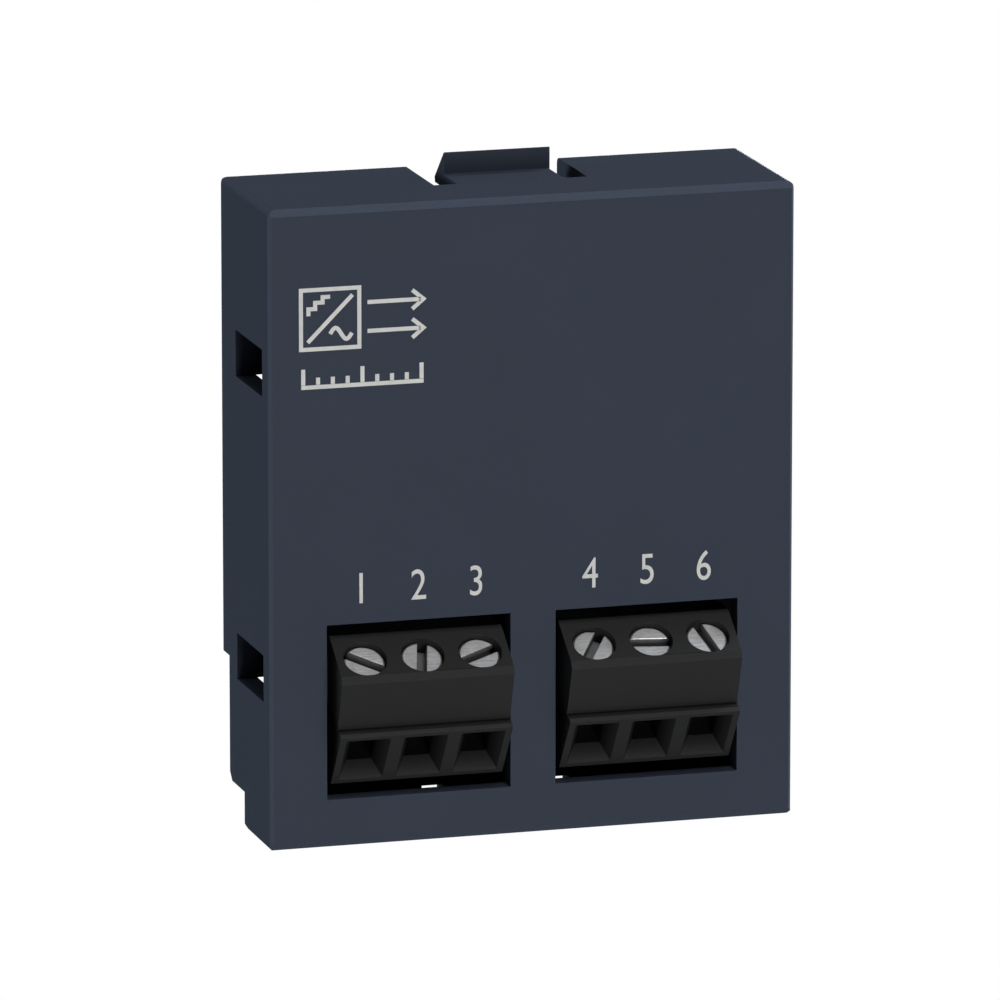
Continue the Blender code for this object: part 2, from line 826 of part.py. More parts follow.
def board_connector(frame):
    """A tall two-row socket on the back of the board, with a key rib along its top."""
    wide, high = CONNECTOR_SIZE
    item = box(
        "board_connector_body",
        (-wide / 2, CONNECTOR_FRONT, CONNECTOR_HEIGHT - high / 2),
        (wide / 2, CONNECTOR_BACK, CONNECTOR_HEIGHT + high / 2),
        frame,
    )
    round_edges(item, CONNECTOR_EDGE)
    key = box(
        "key_rib",
        (-KEY_WIDE / 2, KEY_FRONT, CONNECTOR_HEIGHT),
        (KEY_WIDE / 2, CONNECTOR_BACK - KEY_SHORT, CONNECTOR_HEIGHT + high / 2 + KEY_HIGH),
        frame,
    )
    join(item, key)
    for number, (x, z) in enumerate(contact_places(), 1):
        cavity = box(
            f"contact_cavity_{number}",
            (x - CAVITY / 2, CONNECTOR_FRONT - PAST, z - CAVITY / 2),
            (x + CAVITY / 2, CONNECTOR_BACK + PAST, z + CAVITY / 2),
            frame,
        )
        cut(item, cavity)
        contact = box(
            f"connector_contact_{number}",
            (x - CONTACT_WIDE / 2, CONTACT_FRONT, z - CONTACT_WIDE / 2),
            (x + CONTACT_WIDE / 2, CONTACT_BACK, z + CONTACT_WIDE / 2),
            frame,
        )
        finish(contact, "contact_gold")
    return finish(item, "connector_plastic")


def board_part(name, material, size, place, frame):
    """A soldered part: a rounded block standing on the back of the board."""
    wide, high, tall = size
    x, z = place
    start = BOARD_BACK + STAND_OFF
    item = box(
        name,
        (x - wide / 2, start, z - high / 2),
        (x + wide / 2, start + tall, z + high / 2),
        frame,
    )
    round_edges(item, PART_EDGE, 1)
    return finish(item, material)


def boost_inductor(frame):
    """A square shielded inductor with cut corners and a shallow round well in its top."""
    half = INDUCTOR_SIZE / 2
    inner = half - INDUCTOR_CORNER
    points = [
        (-half, -inner),
        (-inner, -half),
        (inner, -half),
        (half, -inner),
        (half, inner),
        (inner, half),
        (-inner, half),
        (-half, inner),
    ]
    x, z = INDUCTOR_PLACE
    middle = BOARD_BACK + STAND_OFF + INDUCTOR_TALL / 2
    item = outline_solid("boost_inductor", points, INDUCTOR_TALL, ALONG_Y, (x, middle, z), frame)
    well = rod(
        "well_cutter",
        INDUCTOR_WELL_RADIUS,
        2 * INDUCTOR_WELL_DEEP,
        (x, middle + INDUCTOR_TALL / 2, z),
        ALONG_Y,
        frame,
    )
    cut(item, well)
    return finish(item, "ferrite_core")


def build():
    frame = new_empty("seat", (0, -DEPTH, -HEIGHT / 2))
    front_housing(frame)
    latch_clip(frame)
    main_circuit_board(frame)
    poles = terminals(frame)
    bpy.context.view_layer.update()
    terminal_block("left", -BLOCK_CENTRE, poles[:POLES], frame)
    terminal_block("right", BLOCK_CENTRE, poles[POLES:], frame)
    board_connector(frame)
    for name, material, size, place in BOARD_PARTS:
        board_part(name, material, size, place, frame)
    boost_inductor(frame)


build()
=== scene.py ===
"""The looks of a plug-in analog output cartridge, built round its CAD frame.

Shapes are drawn in millimetres in the housing's own frame: Y = 0 is the front face, Z = 0 the bottom
face, +Y points to the back. TO_METRES turns such a point into the frame's metres.
"""

import math
import random

import bmesh
import bpy
from mathutils import Matrix, Vector


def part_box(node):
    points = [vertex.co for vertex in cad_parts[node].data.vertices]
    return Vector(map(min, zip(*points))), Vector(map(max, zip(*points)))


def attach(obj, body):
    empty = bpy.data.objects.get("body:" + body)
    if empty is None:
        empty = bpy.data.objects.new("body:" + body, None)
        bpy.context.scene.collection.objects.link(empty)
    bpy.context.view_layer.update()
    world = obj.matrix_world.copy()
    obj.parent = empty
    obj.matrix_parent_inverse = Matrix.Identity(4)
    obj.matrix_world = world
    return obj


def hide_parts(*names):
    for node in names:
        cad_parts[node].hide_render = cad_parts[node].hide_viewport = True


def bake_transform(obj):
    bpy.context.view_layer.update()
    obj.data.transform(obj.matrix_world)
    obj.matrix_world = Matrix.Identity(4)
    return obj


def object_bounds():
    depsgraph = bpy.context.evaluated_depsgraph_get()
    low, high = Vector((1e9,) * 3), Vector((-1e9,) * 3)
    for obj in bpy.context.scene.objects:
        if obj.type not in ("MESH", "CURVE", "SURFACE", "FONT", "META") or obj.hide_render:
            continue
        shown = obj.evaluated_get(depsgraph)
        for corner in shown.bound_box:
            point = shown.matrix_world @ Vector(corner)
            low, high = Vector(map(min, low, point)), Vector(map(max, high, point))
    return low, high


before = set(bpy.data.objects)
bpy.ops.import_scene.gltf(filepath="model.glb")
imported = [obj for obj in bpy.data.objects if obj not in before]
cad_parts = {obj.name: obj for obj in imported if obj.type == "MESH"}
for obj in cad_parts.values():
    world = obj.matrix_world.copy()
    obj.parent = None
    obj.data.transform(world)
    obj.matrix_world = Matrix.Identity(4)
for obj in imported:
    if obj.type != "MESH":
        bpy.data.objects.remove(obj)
CAD_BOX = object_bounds()

MM = 0.001
HOUSING_LOW, HOUSING_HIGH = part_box("front_housing")
ORIGIN = Vector((0, HOUSING_LOW.y, HOUSING_LOW.z))
TO_METRES = Matrix.Translation(ORIGIN) @ Matrix.Scale(MM, 4)
TO_DRAWING = TO_METRES.inverted()
WELD = 1e-3
FLAT = math.radians(0.5)
SOFT_ANGLE = math.radians(28)
SHARP_ANGLE = math.radians(60)

# The terminals lean back: a wire goes in along WIRE_WAY, and a screw comes out along SCREW_WAY.
LEAN = math.radians(35)
WIRE_WAY = Vector((0, math.cos(LEAN), math.sin(LEAN)))
SCREW_WAY = Vector((0, -math.sin(LEAN), math.cos(LEAN)))
ENTRY_TOP = TO_METRES @ Vector((0, -1.98, 7.77))
SCREW_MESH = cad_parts["terminal_screw_1"].data
SCREW_TOP = max(vertex.co.dot(SCREW_WAY) for vertex in SCREW_MESH.vertices)


def node_box(node):
    """A CAD node's lowest and highest corner, in millimetres in the housing's frame."""
    low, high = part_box(node)
    return TO_DRAWING @ low, TO_DRAWING @ high


def node_middle(node):
    low, high = node_box(node)
    return (low + high) / 2


# ---------------------------------------------------------------- materials


class Paint:
    """A material and a short way to write its nodes. Texture sizes are in metres."""

    def __init__(self, name, **sockets):
        self.material = bpy.data.materials.new(name)
        self.material.use_nodes = True
        self.tree = self.material.node_tree
        self.shader = self.tree.nodes["Principled BSDF"]
        self.place = self.node("ShaderNodeTexCoord").outputs["Object"]
        for socket, value in sockets.items():
            self.shader.inputs[socket.replace("_", " ")].default_value = value

    def node(self, kind, inputs=None, **settings):
        made = self.tree.nodes.new(kind)
        for key, value in settings.items():
            setattr(made, key, value)
        for socket, value in (inputs or {}).items():
            if isinstance(value, bpy.types.NodeSocket):
                self.tree.links.new(value, made.inputs[socket])
            else:
                made.inputs[socket].default_value = value
        return made

    def stretched(self, scale):
        """The object's own coordinates, divided by a size for each axis."""
        inputs = {"Vector": self.place, "Scale": scale}
        return self.node("ShaderNodeMapping", inputs).outputs["Vector"]

    def noise(self, size, detail=2.0, shape=(1, 1, 1)):
        """Noise whose grain measures size, drawn out along an axis whose shape is above 1."""
        vector = self.stretched([1 / (size * s) for s in shape])
        inputs = {"Vector": vector, "Scale": 1.0, "Detail": detail, "Roughness": 0.6}
        return self.node("ShaderNodeTexNoise", inputs).outputs["Fac"]

    def ramp(self, value, low, high, start=0.3, end=0.7):
        inputs = {"Value": value, "From Min": start, "From Max": end, "To Min": low, "To Max": high}
        return self.node("ShaderNodeMapRange", inputs).outputs["Result"]

    def blend(self, factor, first, second):
        made = self.node("ShaderNodeMix", data_type="RGBA")
        for socket, value in ((0, factor), (6, first), (7, second)):
            if isinstance(value, bpy.types.NodeSocket):
                self.tree.links.new(value, made.inputs[socket])
            else:
                made.inputs[socket].default_value = (*value, 1)
        return made.outputs[2]

    def colour(self, socket):
        self.tree.links.new(socket, self.shader.inputs["Base Color"])

    def roughness(self, socket):
        self.tree.links.new(socket, self.shader.inputs["Roughness"])

    def bump(self, height, distance, strength=1.0, under=None):
        inputs = {"Height": height, "Distance": distance, "Strength": strength}
        if under is not None:
            inputs["Normal"] = under
        made = self.node("ShaderNodeBump", inputs).outputs["Normal"]
        self.tree.links.new(made, self.shader.inputs["Normal"])
        return made


FUNNEL_SHADE = 0.25
SLOT_SHADE = 0.24


def scaled(colour, factor):
    return tuple(channel * factor for channel in colour)


def rubbed(paint):
    """How far a face turns away from the three main directions: 0 on a wall, more on a softened edge. It
    places a painted highlight along the softened edges.
    """
    normal = paint.node("ShaderNodeTexCoord").outputs["Normal"]
    sides = paint.node("ShaderNodeVectorMath", {0: normal}, operation="ABSOLUTE").outputs["Vector"]
    parts = paint.node("ShaderNodeSeparateXYZ", {"Vector": sides}).outputs
    widest = paint.node("ShaderNodeMath", {0: parts[0], 1: parts[1]}, operation="MAXIMUM").outputs[0]
    widest = paint.node("ShaderNodeMath", {0: widest, 1: parts[2]}, operation="MAXIMUM").outputs[0]
    return paint.ramp(widest, 1.0, 0.0, 0.86, 0.99)


def moulded(name, colour, grain, grain_height, roughness, specular, spread=0.06, edge=1.0, shade=None):
    """A moulded plastic: a slow change of tone, a fine eroded grain, a gloss that varies with it,
    a painted highlight on its softened edges, and a darker painted shade where shade says so."""
    paint = Paint(name, Specular_IOR_Level=specular)
    slow = paint.noise(0.009, 3.0)
    fine = paint.noise(grain, 2.0)
    tone = paint.blend(
        paint.ramp(slow, 0.0, 1.0), scaled(colour, 1 - spread / 2), scaled(colour, 1 + spread / 2)
    )
    tone = paint.blend(paint.ramp(fine, 0.0, 0.3, 0.25, 0.6), tone, scaled(colour, 1 + 2 * spread))
    # Painted highlight: the softened edges are made lighter than the faces.
    if edge > 1.0:
        tone = paint.blend(rubbed(paint), tone, scaled(colour, edge))
    # Painted shade: darker where shade marks a recess.
    if shade:
        tone = paint.blend(shade(paint), tone, scaled(colour, FUNNEL_SHADE))
    paint.colour(tone)
    paint.roughness(paint.ramp(fine, roughness - 0.06, roughness + 0.06))
    under = paint.bump(paint.noise(grain * 6, 2.0), grain_height * 2, 0.35)
    paint.bump(fine, grain_height, 0.8, under)
    return paint.material


def along(paint, way):
    """How far a point lies along a direction, in metres."""
    inputs = {0: paint.place, 1: way}
    return paint.node("ShaderNodeVectorMath", inputs, operation="DOT_PRODUCT").outputs["Value"]


def inside_funnels(paint):
    """How deep a point lies behind the leaning face that the wires go into. It puts painted shade inside
    the wire funnels.
    """
    face = ENTRY_TOP.dot(WIRE_WAY)
    deep = paint.ramp(along(paint, WIRE_WAY), 0.0, 1.0, face + 0.08 * MM, face + 0.9 * MM)
    top = ENTRY_TOP.dot(SCREW_WAY)
    below = paint.ramp(along(paint, SCREW_WAY), 1.0, 0.0, top - 0.2 * MM, top - 0.1 * MM)
    return paint.node("ShaderNodeMath", {0: deep, 1: below}, operation="MULTIPLY").outputs[0]


def inside_slots(paint):
    """How deep a point lies below the screws' heads. It puts painted shade inside the screw slots."""
    return paint.ramp(along(paint, SCREW_WAY), 1.0, 0.0, SCREW_TOP - 0.6 * MM, SCREW_TOP - 0.1 * MM)


def brushed(name, colour, dull, roughness, grain, shape, streak=0.86, shade=None):
    """A plated metal with drawn-out tool marks and faint dull stains, and painted shade where shade says
    so.
    """
    paint = Paint(name, Metallic=1.0)
    marks = paint.noise(grain, 4.0, shape)
    stains = paint.noise(0.0011, 3.0)
    tone = paint.blend(paint.ramp(marks, 0.0, 1.0), colour, scaled(colour, streak))
    tone = paint.blend(paint.ramp(stains, 0.0, 0.55, 0.42, 0.75), tone, dull)
    # Painted shade: darker where shade marks a recess.
    if shade:
        tone = paint.blend(shade(paint), tone, scaled(colour, SLOT_SHADE))
    paint.colour(tone)
    paint.roughness(paint.ramp(marks, roughness - 0.07, roughness + 0.1))
    paint.bump(marks, 4e-6, 0.5)
    return paint.material


def laminate(name, mask, edge):
    """A dark solder mask on the board's two faces, and woven glass and resin on its sawn edges."""
    paint = Paint(name, Specular_IOR_Level=0.3)

    def wave(way, scale, distortion, detail):
        inputs = {"Vector": paint.place, "Scale": scale, "Distortion": distortion, "Detail": detail}
        return paint.node("ShaderNodeTexWave", inputs, bands_direction=way).outputs["Fac"]

    threads = {0: wave("X", 900.0, 0.6, 1.0), 1: wave("Z", 900.0, 0.6, 1.0)}
    weave = paint.node("ShaderNodeMath", threads, operation="MULTIPLY").outputs[0]
    slow = paint.ramp(paint.noise(0.006, 3.0), 0.0, 1.0)
    face = paint.blend(slow, scaled(mask, 0.85), scaled(mask, 1.2))
    face = paint.blend(paint.ramp(weave, 0.0, 0.35, 0.0, 1.0), face, scaled(mask, 1.5))
    sawn = paint.blend(wave("Y", 1500.0, 1.5, 2.0), edge, scaled(edge, 1.7))
    normal = paint.node("ShaderNodeNewGeometry").outputs["True Normal"]
    parts = paint.node("ShaderNodeSeparateXYZ", {"Vector": normal}).outputs
    facing = paint.node("ShaderNodeMath", {0: parts["Y"]}, operation="ABSOLUTE").outputs[0]
    paint.colour(paint.blend(paint.ramp(facing, 0.0, 1.0, 0.45, 0.55), sawn, face))
    gloss = paint.ramp(paint.noise(0.0004, 2.0), 0.30, 0.44)
    paint.roughness(paint.ramp(facing, 0.9, gloss, 0.45, 0.55))
    paint.bump(weave, 6e-6, 0.35)
    return paint.material


def speckled(name, colour, other, grain, roughness, metallic=0.0, height=3e-6, specular=0.5):
    """A fine-grained surface: ink, ferrite, solder, or a glazed body."""
    paint = Paint(name, Metallic=metallic, Specular_IOR_Level=specular)
    fine = paint.noise(grain, 3.0)
    slow = paint.noise(grain * 9, 2.0)
    tone = paint.blend(paint.ramp(slow, 0.0, 1.0), colour, scaled(colour, 0.9))
    paint.colour(paint.blend(paint.ramp(fine, 0.0, 0.5, 0.45, 0.8), tone, other))
    paint.roughness(paint.ramp(fine, roughness - 0.05, roughness + 0.08))
    paint.bump(fine, height, 0.6)
    return paint.material


# The housing's edge factor paints a highlight along its softened edges.
HOUSING = moulded("housing_plastic", (0.0345, 0.0425, 0.0605), 0.00016, 5e-6, 0.60, 0.05, edge=1.38)
# The terminal blocks carry painted shade inside their wire funnels.
TERMINAL = moulded(
    "terminal_plastic", (0.0195, 0.0195, 0.0193), 0.00011, 3e-6, 0.50, 0.12, shade=inside_funnels
)
CONNECTOR = moulded("connector_plastic", (0.0140, 0.0140, 0.0145), 0.00013, 3e-6, 0.42, 0.40)
CHIP = moulded("chip_plastic", (0.0125, 0.0125, 0.0135), 0.00005, 4e-6, 0.50, 0.40)
BOARD = laminate("board_laminate", (0.0035, 0.0120, 0.0078), (0.0075, 0.0080, 0.0050))
# The screws carry painted shade inside their slots.
SCREW = brushed(
    "screw_steel", (0.88, 0.88, 0.88), (0.40, 0.40, 0.41), 0.46, 0.00016, (7, 1, 1), 0.6, inside_slots
)
CLAMP = brushed("clamp_steel", (0.58, 0.58, 0.57), (0.40, 0.39, 0.37), 0.42, 0.00006, (1, 1, 8))
TINNED = brushed("tinned_copper", (0.74, 0.73, 0.70), (0.55, 0.53, 0.49), 0.34, 0.00005, (1, 6, 1))
GOLD = brushed("contact_gold", (0.86, 0.64, 0.30), (0.70, 0.48, 0.20), 0.26, 0.00005, (1, 8, 1))
SOLDER = speckled("solder", (0.72, 0.72, 0.71), (0.50, 0.50, 0.49), 0.00012, 0.24, 1.0)
TANTALUM = speckled("capacitor_case", (0.50, 0.30, 0.045), (0.36, 0.20, 0.03), 0.00009, 0.45)
RESISTOR = speckled("resistor_body", (0.012, 0.012, 0.013), (0.03, 0.03, 0.032), 0.00005, 0.35)
CERAMIC = speckled("ceramic_body", (0.36, 0.25, 0.15), (0.26, 0.17, 0.10), 0.00006, 0.40)
FERRITE = speckled("ferrite_core", (0.035, 0.035, 0.038), (0.075, 0.075, 0.08), 0.00006, 0.6)
COPPER_WIRE = brushed("enamelled_wire", (0.55, 0.20, 0.08), (0.40, 0.13, 0.05), 0.3, 0.00006, (1, 6, 1))
INK = speckled("light_ink", (0.60, 0.60, 0.575), (0.47, 0.47, 0.455), 0.00007, 0.6, specular=0.3)
SILK = speckled("board_ink", (0.66, 0.67, 0.64), (0.50, 0.51, 0.49), 0.00006, 0.6, specular=0.3)
TRACK = speckled("covered_track", (0.0085, 0.0330, 0.0200), (0.013, 0.047, 0.029), 0.0002, 0.32)
BAND = speckled("polarity_band", (0.14, 0.075, 0.015), (0.10, 0.05, 0.01), 0.00008, 0.45)
CATHODE = speckled("cathode_band", (0.30, 0.30, 0.30), (0.22, 0.22, 0.22), 0.00008, 0.5)


# ---------------------------------------------------------------- shapes


def cad_work(node):
    """The CAD node's mesh as a bmesh in the housing's frame, with its flat faces joined up."""
    work = bmesh.new()
    work.from_mesh(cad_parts[node].data)
    bmesh.ops.transform(work, matrix=TO_DRAWING, verts=work.verts)
    bmesh.ops.remove_doubles(work, verts=work.verts, dist=WELD)
    bmesh.ops.dissolve_limit(work, angle_limit=FLAT, verts=work.verts, edges=work.edges)
    return work


def soften(work, width, segments=2, spare=None, faces=None):
    """Rounds the sharp edges. An edge for which spare() is true keeps its sharpness."""
    edges = [
        edge
        for edge in work.edges
        if len(edge.link_faces) == 2
        and edge.calc_face_angle(0) > SOFT_ANGLE
        and not (spare and spare(edge))
        and (faces is None or all(face in faces for face in edge.link_faces))
    ]
    bmesh.ops.bevel(
        work,
        geom=edges,
        offset=width,
        offset_type="OFFSET",
        segments=segments,
        profile=0.5,
        affect="EDGES",
        clamp_overlap=True,
    )


def piece(name, work, body, slot, *materials, stands_for=()):
    """Makes a bmesh drawn in millimetres a piece of the object."""
    bmesh.ops.recalc_face_normals(work, faces=work.faces)
    mesh = bpy.data.meshes.new(name)
    work.to_mesh(mesh)
    work.free()
    mesh.transform(TO_METRES)
    for material in materials:
        mesh.materials.append(material)
    mesh.shade_smooth()
    mesh.set_sharp_from_angle(angle=SHARP_ANGLE)
    item = bpy.data.objects.new(name, mesh)
    bpy.context.scene.collection.objects.link(item)
    normals = item.modifiers.new("face_weighted", "WEIGHTED_NORMAL")
    normals.keep_sharp = True
    if body:
        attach(item, body)
    if stands_for:
        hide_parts(*stands_for)
    return item


def softened_copy(node, body, slot, material, width, segments=2, spare=None):
    """Stands for a CAD node with the same shape, its edges finely rounded."""
    work = cad_work(node)
    soften(work, width, segments, spare)
    return piece(node + "_look", work, body, slot, material, stands_for=[node])


def wall(work, rings, material=0, closed=False):
    """Joins rings of four points with faces, and closes the two ends, or the last ring to the first."""
    pairs = list(zip(rings, rings[1:]))
    if closed:
        pairs.append((rings[-1], rings[0]))
    made = []
    for first, second in pairs:
        for i in range(4):
            j = (i + 1) % 4
            made.append(work.faces.new((first[i], first[j], second[j], second[i])))
    if not closed:
        made.append(work.faces.new(rings[0]))
        made.append(work.faces.new(rings[-1]))
    for face in made:
        face.material_index = material


def add_box(work, low, high, material=0, round_by=0.0, segments=2):
    """Adds a box between two corners to a bmesh, with its edges rounded if asked."""
    made = bmesh.ops.create_cube(work, size=1.0)["verts"]
    size = [b - a for a, b in zip(low, high)]
    middle = [(a + b) / 2 for a, b in zip(low, high)]
    matrix = Matrix.Translation(middle) @ Matrix.Diagonal((*size, 1))
    bmesh.ops.transform(work, matrix=matrix, verts=made)
    faces = {face for vert in made for face in vert.link_faces}
    for face in faces:
        face.material_index = material
    if round_by:
        edges = {edge for vert in made for edge in vert.link_edges}
        result = bmesh.ops.bevel(
            work,
            geom=list(edges),
            offset=round_by,
            segments=segments,
            profile=0.5,
            affect="EDGES",
            clamp_overlap=True,
        )
        for face in result["faces"]:
            face.material_index = material


def add_lathe(work, profile, steps, matrix, material=0):
    """Turns (radius, height) points about Z and places them with matrix. A radius of 0 is one point."""
    rings = []
    for radius, height in profile:
        angles = [math.tau * i / steps for i in range(steps if radius else 1)]
        around = [Vector((radius * math.cos(a), radius * math.sin(a), height)) for a in angles]
        rings.append([work.verts.new(matrix @ point) for point in around])
    for first, second in zip(rings, rings[1:]):
        for i in range(steps):
            corners = [
                first[i % len(first)],
                first[(i + 1) % len(first)],
                second[(i + 1) % len(second)],
                second[i % len(second)],
            ]
            corners = list(dict.fromkeys(corners))
            if len(corners) > 2:
                work.faces.new(corners).material_index = material


def add_strip(work, path, width, low, high, closed=False, material=0):
    """A flat ribbon along (X, Z) points, mitred at its corners, from Y = low to Y = high."""
    points = [Vector(point) for point in path]
    count = len(points)
    sides = []
    for i, point in enumerate(points):
        before = points[i - 1] if i or closed else None
        after = points[(i + 1) % count] if i < count - 1 or closed else None
        ways = [
            (b - a).normalized()
            for a, b in ((before, point), (point, after))
            if a is not None and b is not None
        ]
        normals = [Vector((-way.y, way.x)) for way in ways]
        mitre = sum(normals, Vector((0, 0))).normalized()
        reach = width / 2 / max(0.35, mitre.dot(normals[0]))
        sides.append((point + mitre * reach, point - mitre * reach))
    rings = [
        [work.verts.new((side.x, y, side.y)) for y, side in ((low, a), (low, b), (high, b), (high, a))]
        for a, b in sides
    ]
    wall(work, rings, material, closed)


def add_tube(work, points, half_wide, half_thick, across, material=0):
    """A flat bar that follows points; across is the way of its width."""
    rings = []
    count = len(points)
    for i, point in enumerate(points):
        ahead = (points[min(i + 1, count - 1)] - points[max(i - 1, 0)]).normalized()
        wide = across * half_wide
        thick = ahead.cross(across).normalized() * half_thick
        rings.append(
            [
                work.verts.new(point + a * wide + b * thick)
                for a, b in ((-1, -1), (1, -1), (1, 1), (-1, 1))
            ]
        )
    wall(work, rings, material)


# ---------------------------------------------------------------- housing and latch

SOFT_HOUSING = 0.05
SOFT_TONGUE = 0.06
NOTCH_FRONT = 5.2
TOP = (HOUSING_HIGH.z - HOUSING_LOW.z) / MM
TONGUE_LOW, TONGUE_HIGH = node_box("latch_clip")
TONGUE_HALF = TONGUE_HIGH.x
TONGUE_UNDER = TONGUE_LOW.z
ROOT_RADIUS = 0.35
ROOT_STEPS = 5
HOOK_FRONT = 8.43
HOOK_TOP = TONGUE_HIGH.z
HOOK_SPREAD = 0.2
HOOK_HEEL = (TONGUE_HIGH.y, 42.0)
HOOK_TAIL = 10.5
BEND_END = 7.5


def at_tongue_root(edge):
    """Whether an edge lies on the notch's front wall, where the tongue grows out of the housing."""
    return all(abs(vert.co.y - NOTCH_FRONT) < 0.02 for vert in edge.verts)


def make_housing():
    name, slot = "front_housing", "housing_plastic"
    softened_copy(name, "module_body", slot, HOUSING, SOFT_HOUSING, spare=at_tongue_root)


def tongue_stations():
    """The tongue's cross-sections from root to tail: (top Y, top Z, bottom Y, bottom Z, half width)."""
    stations = []
    for step in range(ROOT_STEPS + 1):
        angle = math.pi / 2 * step / ROOT_STEPS
        y = NOTCH_FRONT + ROOT_RADIUS * (1 - math.cos(angle))
        half = TONGUE_HALF + ROOT_RADIUS * (1 - math.sin(angle))
        stations.append((y, TOP, y, TONGUE_UNDER, half))
    for y in (6.0, 6.5, 7.0, BEND_END):
        stations.append((y, TOP, y, TONGUE_UNDER, TONGUE_HALF))
    stations.append((HOOK_FRONT, TOP, HOOK_FRONT - HOOK_SPREAD, TONGUE_UNDER, TONGUE_HALF))
    stations.append((HOOK_FRONT, HOOK_TOP, HOOK_FRONT + HOOK_SPREAD, TONGUE_UNDER, TONGUE_HALF))
    stations.append((*HOOK_HEEL, HOOK_TAIL, TONGUE_UNDER, TONGUE_HALF))
    return stations


def make_tongue():
    """The latch tongue, which grows out of the top wall with a rounded, wider root."""
    work = bmesh.new()
    rings = [
        [
            work.verts.new(corner)
            for corner in (
                (-half, top_y, top_z),
                (half, top_y, top_z),
                (half, low_y, low_z),
                (-half, low_y, low_z),
            )
        ]
        for top_y, top_z, low_y, low_z, half in tongue_stations()
    ]
    wall(work, rings)
    bmesh.ops.recalc_face_normals(work, faces=work.faces)
    soften(work, SOFT_TONGUE, spare=at_tongue_root)
    item = piece("latch_tongue", work, None, "housing_plastic", HOUSING, stands_for=["latch_clip"])
    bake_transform(item)


# ---------------------------------------------------------------- terminals

POLES = 6
SOFT_BLOCK = 0.07
SOFT_SCREW = 0.035
SOFT_CAGE = 0.06
SOFT_PIN = 0.04


def pole_x(number):
    return node_middle(f"clamp_cage_{number}").x


def make_terminals():
    for side in ("left", "right"):
        softened_copy(f"terminal_block_{side}", "module_body", "terminal_plastic", TERMINAL, SOFT_BLOCK)
    for number in range(1, POLES + 1):
        softened_copy(f"terminal_screw_{number}", f"screw_{number}", "screw_steel", SCREW, SOFT_SCREW)
        softened_copy(f"clamp_cage_{number}", f"cage_{number}", "clamp_steel", CLAMP, SOFT_CAGE)
        softened_copy(f"contact_pin_{number}", "module_body", "tinned_copper", TINNED, SOFT_PIN)


# ---------------------------------------------------------------- printed marks

INK_BACK = 0.003
INK_FRONT = -0.012
NUMBER_MIDDLE = 17.25
NUMBER_HEIGHT = 2.0
NUMBER_SQUEEZE = 0.8
MARK_LEFT = -15.6
MARK_STROKE = 0.27
WAVE_STEPS = 16


def make_numbers():
    """The terminals' numbers, printed over the windows."""
    for number in range(1, POLES + 1):
        text = bpy.data.curves.new(f"number_{number}_text", "FONT")
        text.body = str(number)
        text.align_x = "CENTER"
        text.align_y = "CENTER"
        text.resolution_u = 6
        text.size = 1.0
        drawn = bpy.data.objects.new(text.name, text)
        bpy.context.scene.collection.objects.link(drawn)
        bpy.context.view_layer.update()
        graph = bpy.context.evaluated_depsgraph_get()
        mesh = bpy.data.meshes.new_from_object(drawn.evaluated_get(graph))
        work = bmesh.new()
        work.from_mesh(mesh)
        bpy.data.objects.remove(drawn)
        low = min(vert.co.y for vert in work.verts)
        high = max(vert.co.y for vert in work.verts)
        left = min(vert.co.x for vert in work.verts)
        right = max(vert.co.x for vert in work.verts)
        grow = NUMBER_HEIGHT / (high - low)
        for vert in work.verts:
            x = (vert.co.x - (left + right) / 2) * grow * NUMBER_SQUEEZE + pole_x(number)
            z = (vert.co.y - (low + high) / 2) * grow + NUMBER_MIDDLE
            vert.co = (x, INK_FRONT, z)
        bmesh.ops.remove_doubles(work, verts=work.verts, dist=1e-4)
        made = bmesh.ops.extrude_face_region(work, geom=list(work.faces))["geom"]
        for vert in made:
            if isinstance(vert, bmesh.types.BMVert):
                vert.co.y = INK_BACK
        piece(f"terminal_number_{number}", work, "module_body", None, INK)


def make_pictogram():
    """A plain sign for two analog outputs: a converter box, two arrows out of it, and a scale."""
    work = bmesh.new()
    left, low, size = MARK_LEFT, 33.25, 3.9
    right, high = left + size, low + size
    width = MARK_STROKE

    def line(path, closed=False):
        add_strip(work, path, width, INK_FRONT, INK_BACK, closed)

    line([(left, low), (right, low), (right, high), (left, high)], closed=True)
    line([(left + 0.45, low + 0.45), (right - 0.45, high - 0.45)])
    steps = [(0.5, 2.2), (0.5, 2.65), (0.95, 2.65), (0.95, 3.05), (1.45, 3.05), (1.45, 3.4), (1.95, 3.4)]
    line([(left + x, low + z) for x, z in steps])
    turns = [math.tau * i / WAVE_STEPS for i in range(WAVE_STEPS + 1)]
    line([(left + 1.95 + 1.45 * a / math.tau, low + 0.95 + 0.38 * math.sin(a)) for a in turns])
    for height in (low + 1.0, high - 1.0):
        tip = right + 4.3
        line([(right + 0.55, height), (tip - 0.2, height)])
        line([(tip - 0.75, height + 0.62), (tip, height), (tip - 0.75, height - 0.62)])
    scale_low, scale_high, scale_end = 30.75, 31.95, left + 8.2
    line([(left, scale_low), (scale_end, scale_low)])
    for i in range(9):
        x = left + width / 2 + (scale_end - left - width) * i / 8
        top = scale_high if i % 4 == 0 else scale_low + 0.62
        line([(x, scale_low + width / 2 + 0.02), (x, top)])
    piece("output_pictogram", work, "module_body", None, INK)


# ---------------------------------------------------------------- circuit board

BOARD_LOW, BOARD_HIGH = node_box("main_circuit_board")
BACK = BOARD_HIGH.y
FACE = BOARD_LOW.y
COPPER_THICK = 0.03
PIN_HEIGHT = 9.85
CONTACT_PITCH = 2.54
CONTACTS = 12


def upright(x, y, z, side=1):
    """Where a turned shape stands on the board's back (+1) or front (-1)."""
    return Matrix.Translation((x, y, z)) @ Matrix.Rotation(-side * math.pi / 2, 4, "X")


